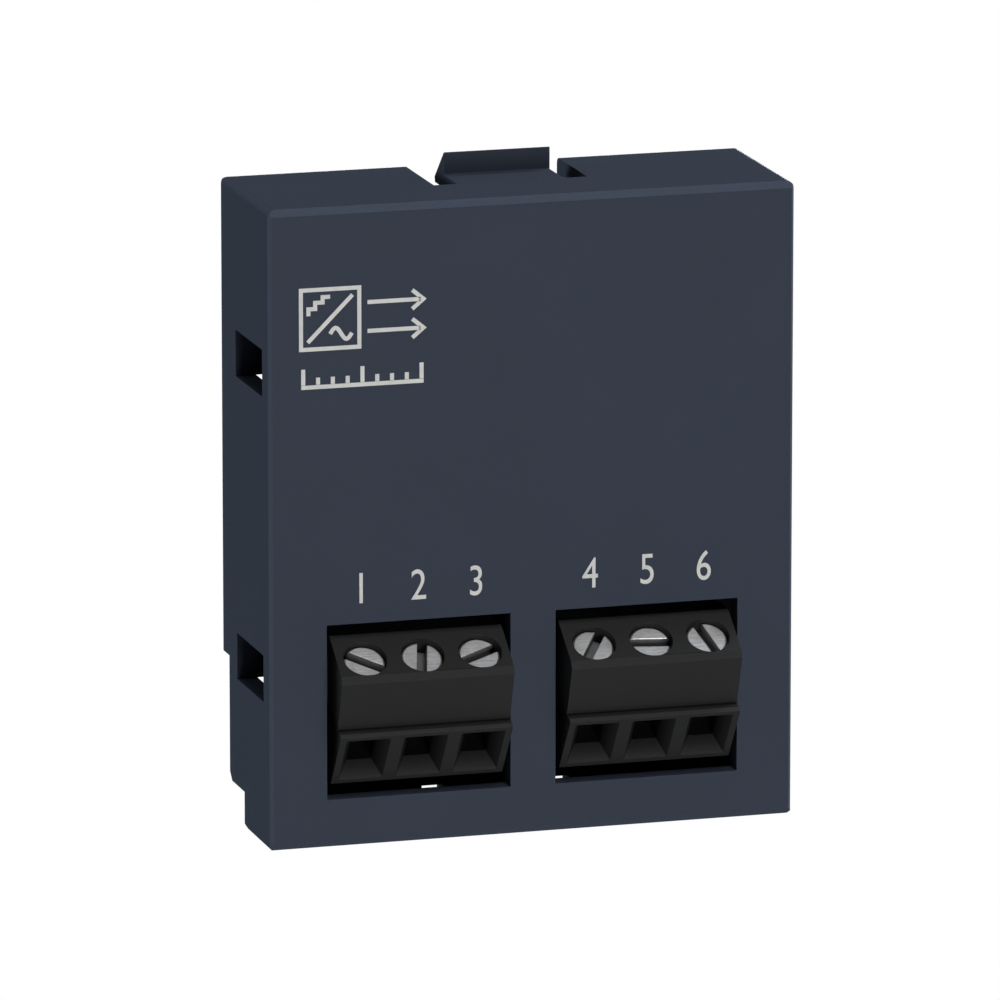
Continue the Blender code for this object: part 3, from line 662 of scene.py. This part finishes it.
def chip_body(work, low, high, edge=0.12, draft=0.08, material=0):
    """A moulded chip body, with a parting line round its middle and sloping sides."""
    middle = (low.y + high.y) / 2
    rings = []
    for y, inset in ((low.y, draft), (middle, 0.0), (high.y, draft)):
        left, right = low.x + inset, high.x - inset
        bottom, top = low.z + inset, high.z - inset
        corners = ((left, bottom), (right, bottom), (right, top), (left, top))
        rings.append([work.verts.new((x, y, z)) for x, z in corners])
    made = [work.faces.new(rings[0]), work.faces.new(rings[-1])]
    for first, second in zip(rings, rings[1:]):
        for i in range(4):
            j = (i + 1) % 4
            made.append(work.faces.new((first[i], first[j], second[j], second[i])))
    bmesh.ops.recalc_face_normals(work, faces=made)
    rims = [line for face in made[:2] for line in face.edges]
    corners = [
        line
        for face in made[2:]
        for line in face.edges
        if abs(line.verts[0].co.y - line.verts[1].co.y) > WELD
    ]
    for face in made:
        face.material_index = material
    result = bmesh.ops.bevel(
        work,
        geom=list(set(rims + corners)),
        offset=edge,
        segments=2,
        profile=0.5,
        affect="EDGES",
        clamp_overlap=True,
    )
    for face in result["faces"]:
        face.material_index = material


def pin_one_mark(work, x, y, z, radius, material=0):
    """A shallow round dimple's rim and floor, where pin one is."""
    profile = ((0, 0.012), (radius * 0.75, 0.012), (radius, 0.03), (radius * 1.12, 0.0))
    add_lathe(work, profile, 20, upright(x, y, z), material)


def gull_lead(work, x, z, way, width, body_y, reach, material=1):
    """One bent lead from the body's side down to its pad. way is +1 for a lead that leaves upwards."""
    thick = 0.09
    foot = BACK + COPPER_THICK + thick
    points = [
        Vector((x, body_y, z - way * 0.05)),
        Vector((x, body_y, z + way * reach * 0.22)),
        Vector((x, body_y - 0.04, z + way * reach * 0.32)),
        Vector((x, foot + 0.10, z + way * reach * 0.48)),
        Vector((x, foot, z + way * reach * 0.58)),
        Vector((x, foot, z + way * reach)),
    ]
    add_tube(work, points, width / 2, thick, Vector((1, 0, 0)), material)


def add_pad(work, x, z, wide, high, material=0, solder=True, front=False):
    """A tinned pad, with a low mound of solder on it if asked."""
    side = -1 if front else 1
    base = FACE if front else BACK
    low, top = sorted((base - side * 0.01, base + side * COPPER_THICK))
    add_box(work, (x - wide / 2, low, z - high / 2), (x + wide / 2, top, z + high / 2), material)
    if solder:
        grow = 0.78
        low, top = sorted((base, base + side * 0.11))
        add_box(
            work,
            (x - wide / 2 * grow, low, z - high / 2 * grow),
            (x + wide / 2 * grow, top, z + high / 2 * grow),
            material,
            round_by=0.08,
        )


PADS = bmesh.new()


def two_row_chip(node, per_side, pitch, width, reach, top_count=None):
    """A chip with a row of leads above and below it, standing for its CAD node."""
    low, high = node_box(node)
    middle = (low + high) / 2
    work = bmesh.new()
    chip_body(work, low, high)
    body_y = (low.y + high.y) / 2
    rows = ((-1, per_side), (1, top_count or per_side))
    for way, count in rows:
        edge = high.z if way > 0 else low.z
        spread = pitch * (per_side - 1) / (count - 1) if count < per_side else pitch
        for i in range(count):
            x = middle.x + (i - (count - 1) / 2) * spread
            gull_lead(work, x, edge, way, width, body_y, reach)
            add_pad(PADS, x, edge + way * reach * 0.8, width * 1.35, reach * 0.75, solder=False)
    pin_one_mark(work, low.x + 0.75, high.y, low.z + 0.75, 0.28)
    piece(node + "_look", work, "module_body", "chip_plastic", CHIP, TINNED, stands_for=[node])


def power_transistor(node):
    """A three-lead power package with a wide cooling tab above it."""
    low, high = node_box(node)
    middle = (low + high) / 2
    work = bmesh.new()
    chip_body(work, low, high)
    body_y = low.y + 0.7
    for i in (-1, 0, 1):
        x = middle.x + i * 2.3
        gull_lead(work, x, low.z, -1, 0.72, body_y, 1.55)
        add_pad(PADS, x, low.z - 1.25, 1.0, 1.2)
    gull_lead(work, middle.x, high.z, 1, 3.0, body_y, 1.55)
    add_pad(PADS, middle.x, high.z + 1.25, 3.4, 1.2)
    pin_one_mark(work, low.x + 0.8, high.y, low.z + 0.8, 0.32)
    piece(node + "_look", work, "module_body", "chip_plastic", CHIP, TINNED, stands_for=[node])


def hooked_lead(work, x, z, way, width, body_y, along, material):
    """A flat lead that leaves the body's end and folds down and under it. along is the way out."""
    out = Vector(along) * way
    across = Vector((0, 1, 0)).cross(Vector(along)).normalized()
    start = Vector((x, body_y, z))
    foot = BACK + COPPER_THICK + 0.09
    points = [
        start - out * 0.05,
        start + out * 0.16,
        start + out * 0.26 - Vector((0, 0.10, 0)),
        Vector((x, foot + 0.12, z)) + out * 0.27,
        Vector((x, foot, z)) + out * 0.16,
        Vector((x, foot, z)) - out * 0.55,
    ]
    add_tube(work, points, width / 2, 0.08, across, material)


def end_lead_part(node, slot, material, along, width, band, band_material):
    """A diode or capacitor with a folded lead at each end and a band across one end."""
    low, high = node_box(node)
    middle = (low + high) / 2
    work = bmesh.new()
    chip_body(work, low, high, 0.1, 0.06)
    body_y = (low.y + high.y) / 2
    vertical = along[2] == 1
    for way in (-1, 1):
        x = middle.x if vertical else (high.x if way > 0 else low.x)
        z = (high.z if way > 0 else low.z) if vertical else middle.z
        hooked_lead(work, x, z, way, width, body_y, along, 1)
        pad = (width * 1.2, 1.3) if vertical else (1.3, width * 1.2)
        add_pad(PADS, x if vertical else x + way * 0.05, z + way * 0.05 if vertical else z, *pad)
    top = high.y + 0.006
    if vertical:
        add_box(
            work,
            (low.x + 0.22, high.y - 0.02, high.z - 0.3 - band),
            (high.x - 0.22, top, high.z - 0.3),
            2,
        )
    else:
        add_box(
            work,
            (low.x + 0.3, high.y - 0.02, low.z + 0.22),
            (low.x + 0.3 + band, top, high.z - 0.22),
            2,
        )
    piece(
        node + "_look",
        work,
        "module_body",
        slot,
        material,
        TINNED,
        band_material,
        stands_for=[node],
    )


def chip_resistor(node):
    """A ceramic chip with wrapped metal ends and a dark glazed top."""
    low, high = node_box(node)
    work = bmesh.new()
    cap = 0.5
    start, end = (low.x + 0.03, low.y, low.z + 0.2), (high.x - 0.03, high.y - 0.08, high.z - 0.2)
    add_box(work, start, end, 2, 0.04)
    start = (low.x + 0.1, high.y - 0.1, low.z + cap - 0.05)
    end = (high.x - 0.1, high.y, high.z - cap + 0.05)
    add_box(work, start, end, 0, 0.04)
    for bottom, top in ((low.z, low.z + cap), (high.z - cap, high.z)):
        add_box(work, (low.x, low.y - 0.05, bottom), (high.x, high.y - 0.03, top), 1, 0.07)
    middle = (low + high) / 2
    for z in (low.z - 0.1, high.z + 0.1):
        add_pad(PADS, middle.x, z, 2.7, 1.1)
    looks = (RESISTOR, TINNED, CERAMIC)
    piece(node + "_look", work, "module_body", "resistor_body", *looks, stands_for=[node])


def make_inductor():
    """A shielded power inductor: a cut-cornered ferrite ring round a wound drum."""
    node = "boost_inductor"
    low, high = node_box(node)
    middle = (low + high) / 2
    work = cad_work(node)
    soften(work, 0.07)
    turn = upright(middle.x, 0, middle.z)
    floor = high.y - 0.4
    drum = ((0, high.y - 0.02), (0.98, high.y - 0.02), (1.06, high.y - 0.08), (1.06, floor - 0.02))
    add_lathe(work, drum, 32, turn)
    angles = [math.tau * i / 8 for i in range(9)]
    for ring in range(2):
        radius = 1.2 + 0.2 * ring
        tube = [(radius + 0.1 * math.cos(a), floor + 0.09 + 0.1 * math.sin(a)) for a in angles]
        add_lathe(work, tube, 32, turn, 1)
    for x, out in ((low.x, -1), (high.x, 1)):
        start = (x - 0.35 - out * 0.1, BACK + 0.02, middle.z - 1.1)
        end = (x + 0.35 - out * 0.1, BACK + 0.32, middle.z + 1.1)
        add_box(work, start, end, 2, 0.06)
        add_pad(PADS, x, middle.z, 1.2, 2.6)
    looks = (FERRITE, COPPER_WIRE, TINNED)
    piece(node + "_look", work, "module_body", "ferrite_core", *looks, stands_for=[node])


def make_small_chips():
    """Small ceramic capacitors and resistors round the chips, as on any such board."""
    capacitors = bmesh.new()
    resistors = bmesh.new()
    places = [
        (-3.4, 24.4, 0), (3.3, 24.0, 0), (0.0, 16.2, 1), (-11.2, 23.2, 0), (11.2, 22.9, 0),
        (-12.7, 17.4, 1), (12.7, 17.4, 1), (-5.3, 17.7, 0), (5.3, 17.7, 0), (7.8, 28.9, 1),
        (-3.2, 28.4, 1), (1.8, 23.8, 0), (-8.1, 29.2, 1), (13.9, 30.2, 0), (-13.9, 31.5, 0),
        (-4.6, 12.1, 1), (4.6, 12.1, 1), (-12.4, 11.9, 1), (12.4, 11.9, 1),
    ]
    for i, (x, z, lying) in enumerate(places):
        target = capacitors if i % 2 else resistors
        tall = 0.75 if i % 2 else 0.45
        half_long, half_wide = 0.8, 0.4
        sx, sz = (half_long, half_wide) if lying else (half_wide, half_long)
        base = BACK + COPPER_THICK
        start = (x - sx + 0.05, base + 0.02, z - sz + 0.05)
        end = (x + sx - 0.05, base + tall - 0.03, z + sz - 0.05)
        add_box(target, start, end, 0, 0.05)
        for way in (-1, 1):
            if lying:
                a, b = sorted((x + way * half_long, x + way * (half_long - 0.34)))
                add_box(target, (a, base, z - sz), (b, base + tall, z + sz), 1, 0.06)
                add_pad(PADS, x + way * 0.85, z, 0.8, 0.95)
            else:
                a, b = sorted((z + way * half_long, z + way * (half_long - 0.34)))
                add_box(target, (x - sx, base, a), (x + sx, base + tall, b), 1, 0.06)
                add_pad(PADS, x, z + way * 0.85, 0.95, 0.8)
    piece("small_capacitors", capacitors, "module_body", None, CERAMIC, TINNED)
    piece("small_resistors", resistors, "module_body", None, RESISTOR, TINNED)


def add_joint(work, x, z, side, radius, tall, pin_half):
    """A solder cone round a pin, on the back (+1) or the front (-1) of the board."""
    base = BACK if side > 0 else FACE
    profile = [(radius, -0.01), (radius, COPPER_THICK)]
    for i in range(1, 7):
        t = i / 6
        profile.append((pin_half + (radius * 0.92 - pin_half) * (1 - t) ** 2, COPPER_THICK + tall * t))
    profile.append((0, COPPER_THICK + tall * 0.99))
    add_lathe(work, profile, 20, upright(x, base, z, side))


def contact_spots():
    """The (X, Z) of the connector's contacts."""
    return [
        (node_middle(f"connector_contact_{n}").x, node_middle(f"connector_contact_{n}").z)
        for n in range(1, CONTACTS + 1)
    ]


def make_joints():
    work = bmesh.new()
    for number in range(1, POLES + 1):
        add_joint(work, pole_x(number), PIN_HEIGHT, 1, 0.95, 0.75, 0.42)
    for x, z in contact_spots():
        add_joint(work, x, z, -1, 0.78, 0.6, 0.36)
    piece("solder_joints", work, "module_body", None, SOLDER)


def make_tracks():
    """Copper tracks under the mask, in runs that turn at 45 degrees, with vias at their ends."""
    work = bmesh.new()
    vias = bmesh.new()

    def run(path, width=0.3, front=False):
        side = -1 if front else 1
        base = FACE if front else BACK
        low, high = sorted((base - side * 0.005, base + side * 0.018))
        add_strip(work, path, width, low, high)

    def via(x, z):
        for side, base in ((1, BACK), (-1, FACE)):
            profile = ((0.33, -0.01), (0.33, 0.026), (0.17, 0.026), (0.15, -0.004), (0, -0.004))
            add_lathe(vias, profile, 16, upright(x, base, z, side))

    # From the terminals' pins up to the output transistors.
    ends = ((3, 11.6, -6.7, 12.6), (2, 11.4, -9.0, 12.4), (1, 11.2, -11.3, 12.4))
    ends += ((4, 11.6, 6.7, 12.6), (5, 11.4, 9.0, 12.4), (6, 11.2, 11.3, 12.4))
    for pole, bend, x, z in ends:
        run([(pole_x(pole), 10.9), (pole_x(pole), bend), (x, z)], 0.8)
    # From the converter up to the connector.
    for i in range(8):
        x = -2.275 + 0.65 * i
        step = (i - 3.5) * 1.1
        bent = x + step * 0.25
        path = [(x, 23.3), (x, 24.0 + abs(i - 3.5) * 0.12), (bent, 24.7 + abs(step) * 0.25), (bent, 30.4)]
        run(path, 0.18)
    # From the loop amplifiers, down to the transistors and up to the connector.
    for i in range(4):
        for mirror in (-1, 1):
            x = mirror * (5.845 + 1.27 * i)
            run([(x, 18.0), (x, 17.2 - 0.1 * i), (x + mirror * 0.8, 16.4 - 0.1 * i)], 0.22)
            bent, end = x - mirror * 0.7, 30.2 - 0.3 * i
            run([(x, 24.0), (x, 24.7 + 0.15 * i), (bent, 25.4 + 0.15 * i), (bent, end)], 0.22)
            via(bent, end)
    # Up both edges of the board and in over the connector.
    for row in range(6):
        start, turn, end = 13.9 + row * 0.55, 36.4 - row * 0.5, 38.4 - row * 0.5
        for mirror in (-1, 1):
            outer, inner = mirror * (15.2 - row * 0.3), mirror * (9.2 - row * 0.25)
            run([(outer, start), (outer, turn), (inner, end)], 0.2)
            via(inner, end)
    for row in range(7):
        x = -6.0 + 2.0 * row
        run([(x, 4.0), (x, 7.4), (x * 1.12, 8.2)], 0.35)
        via(x, 3.6)
    shuffle = random.Random(7)
    for _ in range(26):
        x = shuffle.uniform(-14.2, 14.2)
        z = shuffle.choice((2.9, 5.1, 6.6, 37.9, 39.0))
        if abs(x) > 1.0:
            via(x, z)
    for column in range(6):
        x = (column - 2.5) * CONTACT_PITCH
        drop, rise = 0.3 * column, 0.25 * column
        run([(x, 31.0), (x, 28.6 - drop), (x + 1.5, 27.1 - drop), (x + 1.5, 18.2)], 0.25, True)
        run([(x, 35.0), (x, 36.2 + rise), (x + 1.2, 37.4 + rise), (x + 5.2, 37.4 + rise)], 0.25, True)
    piece("board_tracks", work, "module_body", "board_laminate", TRACK)
    piece("board_vias", vias, "module_body", "board_laminate", TINNED)


def make_silkscreen():
    """White outlines round the parts and plain polarity marks."""
    work = bmesh.new()
    low, high = BACK - 0.004, BACK + 0.03

    def frame_round(node, gap_x, gap_z):
        a, b = node_box(node)
        path = [
            (a.x - gap_x, a.z - gap_z),
            (b.x + gap_x, a.z - gap_z),
            (b.x + gap_x, b.z + gap_z),
            (a.x - gap_x, b.z + gap_z),
        ]
        add_strip(work, path, 0.13, low, high, closed=True)

    def sides(node, gap):
        a, b = node_box(node)
        for x in (a.x - gap, b.x + gap):
            add_strip(work, [(x, a.z - 0.2), (x, b.z + 0.2)], 0.13, low, high)

    chips = ("loop_amplifier_left", "loop_amplifier_right", "converter_chip", "memory_chip")
    for node in chips:
        sides(node, 0.3)
    for side in ("left", "right"):
        sides(f"output_transistor_{side}", 0.35)
    for side in ("left", "right"):
        sides(f"surge_diode_{side}", 0.3)
    frame_round("boost_inductor", 0.75, 0.3)
    frame_round("board_connector_body", 0.35, 0.35)
    for node in chips:
        a, _ = node_box(node)
        dot = upright(a.x - 0.75, BACK, a.z - 0.5)
        add_lathe(work, ((0, 0.03), (0.16, 0.03), (0.16, -0.005)), 12, dot)
    piece("board_outlines", work, "module_body", "board_laminate", SILK)


def make_board():
    softened_copy("main_circuit_board", "module_body", "board_laminate", BOARD, 0.03, 1)
    two_row_chip("converter_chip", 8, 0.65, 0.24, 1.0)
    for node in ("loop_amplifier_left", "loop_amplifier_right", "memory_chip"):
        two_row_chip(node, 4, 1.27, 0.42, 1.05)
    two_row_chip("boost_converter_chip", 3, 0.95, 0.4, 0.6, top_count=2)
    for side in ("left", "right"):
        power_transistor(f"output_transistor_{side}")
        end_lead_part(f"surge_diode_{side}", "chip_plastic", CHIP, (0, 0, 1), 1.5, 0.5, CATHODE)
        end_lead_part(
            f"tantalum_capacitor_{side}", "capacitor_case", TANTALUM, (1, 0, 0), 2.1, 0.55, BAND
        )
        chip_resistor(f"sense_resistor_{side}")
    make_inductor()
    make_small_chips()
    piece("board_pads", PADS, "module_body", "board_laminate", SOLDER)
    make_joints()
    make_tracks()
    make_silkscreen()


# ---------------------------------------------------------------- rear connector


def make_contact(number):
    """A socket contact: a square tail through the board and two sprung leaves that close on a pin."""
    node = f"connector_contact_{number}"
    low, high = node_box(node)
    middle = (low + high) / 2
    half = (high.x - low.x) / 2
    work = bmesh.new()
    root = BACK + 1.6
    add_box(work, (low.x, low.y, low.z), (high.x, root, high.z), 0, 0.06)
    shape = ((root - 0.2, 0.26), (root + 2.0, 0.30), (high.y - 4.0, 0.28))
    shape += ((high.y - 1.6, 0.10), (high.y - 0.9, 0.08), (high.y, 0.30))
    for way in (-1, 1):
        points = []
        for first, second in zip(shape, shape[1:]):
            for step in range(4):
                t = step / 4
                s = t * t * (3 - 2 * t)
                y = first[0] + (second[0] - first[0]) * t
                away = first[1] + (second[1] - first[1]) * s
                points.append(Vector((middle.x, y, middle.z + way * away)))
        points.append(Vector((middle.x, high.y, middle.z + way * 0.30)))
        add_tube(work, points, half * 0.9, 0.045, Vector((1, 0, 0)))
    piece(node + "_look", work, "module_body", "contact_gold", GOLD, stands_for=[node])


def make_connector():
    softened_copy("board_connector_body", "module_body", "connector_plastic", CONNECTOR, 0.09)
    for number in range(1, CONTACTS + 1):
        make_contact(number)


# ---------------------------------------------------------------- studio

AZIMUTH = math.radians(-16.351)
ELEVATION = math.radians(12.809)
DISTANCE = 0.7301
TARGET = TO_METRES @ Vector((-2.251, 0, 22.501))
LENS = 404.9


def make_camera():
    level = math.cos(ELEVATION)
    back = Vector((math.sin(AZIMUTH) * level, -math.cos(AZIMUTH) * level, math.sin(ELEVATION)))
    camera = bpy.data.cameras.new("camera")
    camera.sensor_width = 36
    camera.lens = LENS
    camera.clip_start = 0.01
    camera.clip_end = 10
    holder = bpy.data.objects.new("camera", camera)
    holder.location = TARGET + back * DISTANCE
    holder.rotation_euler = (-back).to_track_quat("-Z", "Y").to_euler()
    bpy.context.scene.collection.objects.link(holder)
    bpy.context.scene.camera = holder


def make_light(name, place, power, size, colour=(1, 1, 1)):
    """A soft rectangular lamp that faces the middle of the object."""
    light = bpy.data.lights.new(name, "AREA")
    light.energy = power
    light.color = colour
    light.shape = "RECTANGLE"
    light.size, light.size_y = size
    holder = bpy.data.objects.new(name, light)
    holder.location = place
    holder.rotation_euler = (-Vector(place)).to_track_quat("-Z", "Y").to_euler()
    bpy.context.scene.collection.objects.link(holder)


WORLD_SHADE = 0.04
COOL = (0.92, 1.0, 1.07)
FLOOR_DROP = 0.2
FLOOR_HALF = 3.0


def make_world():
    """A dim even light all round, with plain white where the camera sees past the floor."""
    world = bpy.data.worlds.new("studio")
    bpy.context.scene.world = world
    world.use_nodes = True
    tree = world.node_tree
    tree.nodes.clear()
    lit = tree.nodes.new("ShaderNodeBackground")
    lit.inputs["Color"].default_value = (0.97, 0.98, 1.0, 1)
    lit.inputs["Strength"].default_value = WORLD_SHADE
    seen = tree.nodes.new("ShaderNodeBackground")
    seen.inputs["Color"].default_value = (1, 1, 1, 1)
    seen.inputs["Strength"].default_value = 1.0
    rays = tree.nodes.new("ShaderNodeLightPath")
    mixed = tree.nodes.new("ShaderNodeMixShader")
    out = tree.nodes.new("ShaderNodeOutputWorld")
    tree.links.new(rays.outputs["Is Camera Ray"], mixed.inputs[0])
    tree.links.new(lit.outputs[0], mixed.inputs[1])
    tree.links.new(seen.outputs[0], mixed.inputs[2])
    tree.links.new(mixed.outputs[0], out.inputs["Surface"])


def floor_paper():
    """Paper that looks evenly white, as on a light table, gives back little light itself, and is
    clear from below, so that the object's underside can be seen."""
    paint = Paint("floor_paper", Roughness=0.9, Specular_IOR_Level=0.0)
    paint.shader.inputs["Base Color"].default_value = (0.35, 0.35, 0.35, 1)
    glow = paint.node("ShaderNodeEmission", {"Strength": 1.0})
    rays = paint.node("ShaderNodeLightPath")
    inputs = {0: rays.outputs["Is Camera Ray"], 1: paint.shader.outputs[0], 2: glow.outputs[0]}
    above = paint.node("ShaderNodeMixShader", inputs)
    clear = paint.node("ShaderNodeBsdfTransparent")
    below = paint.node("ShaderNodeNewGeometry").outputs["Backfacing"]
    inputs = {0: below, 1: above.outputs[0], 2: clear.outputs[0]}
    both = paint.node("ShaderNodeMixShader", inputs)
    out = next(node for node in paint.tree.nodes if node.type == "OUTPUT_MATERIAL")
    paint.tree.links.new(both.outputs[0], out.inputs["Surface"])
    return paint.material


def make_floor():
    work = bmesh.new()
    bmesh.ops.create_grid(work, x_segments=1, y_segments=1, size=FLOOR_HALF)
    mesh = bpy.data.meshes.new("floor")
    work.to_mesh(mesh)
    work.free()
    mesh.materials.append(floor_paper())
    floor = bpy.data.objects.new("floor", mesh)
    floor.location.z = CAD_BOX[0].z - FLOOR_DROP
    bpy.context.scene.collection.objects.link(floor)


def make_studio():
    make_world()
    make_floor()
    make_light("low_front", (0.07, -0.74, -0.10), 2.83, (0.30, 0.20))
    make_light("high_front", (0.05, -0.435, 0.602), 2.83, (0.30, 0.30))
    make_light("top_right", (0.50, 0.15, 0.50), 3.6, (0.30, 0.30), COOL)
    make_light("left_fill", (-0.66, 0.25, 0.08), 2.8, (0.30, 0.30), COOL)
    make_light("right_fill", (0.66, 0.25, 0.08), 1.8, (0.30, 0.30))
    make_light("back_fill", (0.25, 0.66, -0.01), 3.0, (0.50, 0.04))
    bpy.context.scene.view_settings.view_transform = "Standard"


make_camera()
make_studio()
make_housing()
make_tongue()
make_terminals()
make_numbers()
make_pictogram()
make_board()
make_connector()
